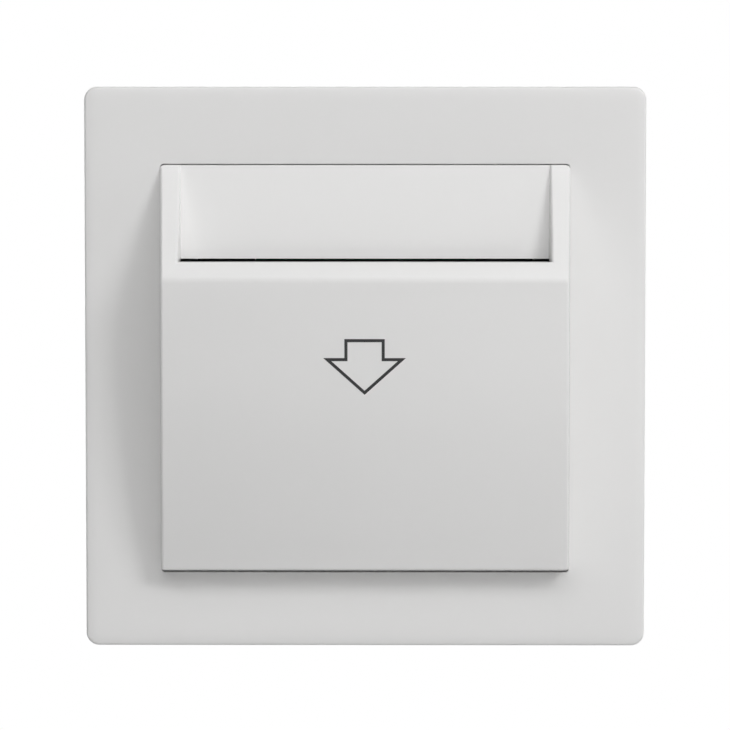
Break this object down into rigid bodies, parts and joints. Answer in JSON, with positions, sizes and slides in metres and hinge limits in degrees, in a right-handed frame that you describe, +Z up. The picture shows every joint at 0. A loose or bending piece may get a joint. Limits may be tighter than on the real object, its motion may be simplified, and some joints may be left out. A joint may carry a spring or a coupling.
{
  "type": "hotel key card switch",
  "caption": "Square wall-mounted key card switch with a sloping card slot, sensing lever, microswitch, relay and rear terminals.",
  "frame": {"origin": "centre of the wall plane, on the surround frame's back rim", "axes": "+Z up, the front faces -Y, +X to the right as seen from the front"},
  "size_m": [0.086, 0.042, 0.086],
  "materials": {
    "cover_white": "fine satin",
    "frame_white": "fine satin",
    "guide_black": "moulded, matt",
    "lever_black": "moulded, matt",
    "yoke_grey": "fine grained",
    "housing_grey": "fine grained",
    "screw_steel": "zinc plated",
    "spring_steel": "drawn wire",
    "brass": "sawn and turned",
    "board_green": "solder mask",
    "tinned_wire": "tinned",
    "relay_blue": "moulded",
    "black_moulding": "moulded, matt",
    "soft_iron": "nickel plated",
    "bobbin_white": "moulded",
    "copper_winding": "enamelled wire",
    "spring_bronze": "rolled strip",
    "contact_silver": "polished",
    "can_sleeve": "shrunk sleeve",
    "film_red": "dipped",
    "varistor_blue": "epoxy coat",
    "fuse_brown": "moulded",
    "diode_black": "moulded",
    "diode_orange": "fired glass",
    "resistor_tan": "lacquer"
  },
  "bodies": {
    "switch": {"surround_frame": "frame_white", "front_cover": "cover_white", "card_guide": "guide_black", "lever_pivot_pin": "screw_steel", "mounting_yoke": "yoke_grey", "assembly_screws": "screw_steel", "rear_housing": "housing_grey", "circuit_board": "board_green", "board_screws": "screw_steel", "line_terminal": "brass", "load_terminal": "brass", "neutral_terminal": "brass", "terminal_screws": "screw_steel", "microswitch_case": "black_moulding", "microswitch_base": "black_moulding", "microswitch_common_terminal": "brass", "microswitch_open_terminal": "brass", "microswitch_closed_terminal": "brass", "relay_cover": "relay_blue", "relay_base": "black_moulding", "relay_frame": "soft_iron", "relay_core": "soft_iron", "relay_bobbin": "bobbin_white", "relay_winding": "copper_winding", "relay_fixed_contact": "contact_silver", "relay_contact_terminal": "spring_bronze", "relay_return_spring": "spring_steel", "relay_coil_pins": "tinned_wire", "smoothing_capacitor": "can_sleeve", "timing_capacitor": "can_sleeve", "dropper_capacitor": "film_red", "varistor": "varistor_blue", "fuse": "fuse_brown", "bridge_rectifier": "diode_black", "timer_chip": "black_moulding", "driver_transistor": "black_moulding", "flyback_diode": "diode_black", "zener_diode": "diode_orange", "resistors": "resistor_tan"},
    "lever": {"card_lever": "lever_black", "lever_spring": "spring_steel"},
    "plunger": {"microswitch_plunger": "film_red"},
    "blade": {"microswitch_blade": "spring_bronze"},
    "armature": {"relay_armature": "soft_iron", "relay_contact_blade": "spring_bronze", "relay_moving_contact": "contact_silver"}
  },
  "joints": [
    {"name": "lever_hinge", "type": "hinge", "parent": "switch", "child": "lever", "pos_m": [0, -0.0054, 0.0008], "axis": [1, 0, 0], "range_deg": [0, 7.1], "stiffness_Nm_per_rad": 0.012, "springref_deg": -11.46},
    {"name": "plunger_slide", "type": "slide", "parent": "switch", "child": "plunger", "axis": [0, 1, 0], "range_m": [0, 0.00098]},
    {"name": "blade_hinge", "type": "hinge", "parent": "switch", "child": "blade", "pos_m": [-0.00668, -0.00135, -0.007], "axis": [0, 0, 1], "range_deg": [0, 8.4]},
    {"name": "armature_hinge", "type": "hinge", "parent": "switch", "child": "armature", "pos_m": [-0.0161, 0.01723, 0.0109], "axis": [0, 0, 1], "range_deg": [-4.4, 0], "stiffness_Nm_per_rad": 0.02, "springref_deg": 8.59}
  ],
  "couplings": [
    {"joint": "plunger_slide", "follows": "lever_hinge", "m_per_rad": 0.0078},
    {"joint": "blade_hinge", "follows": "lever_hinge", "ratio": 1.1677}
  ]
}
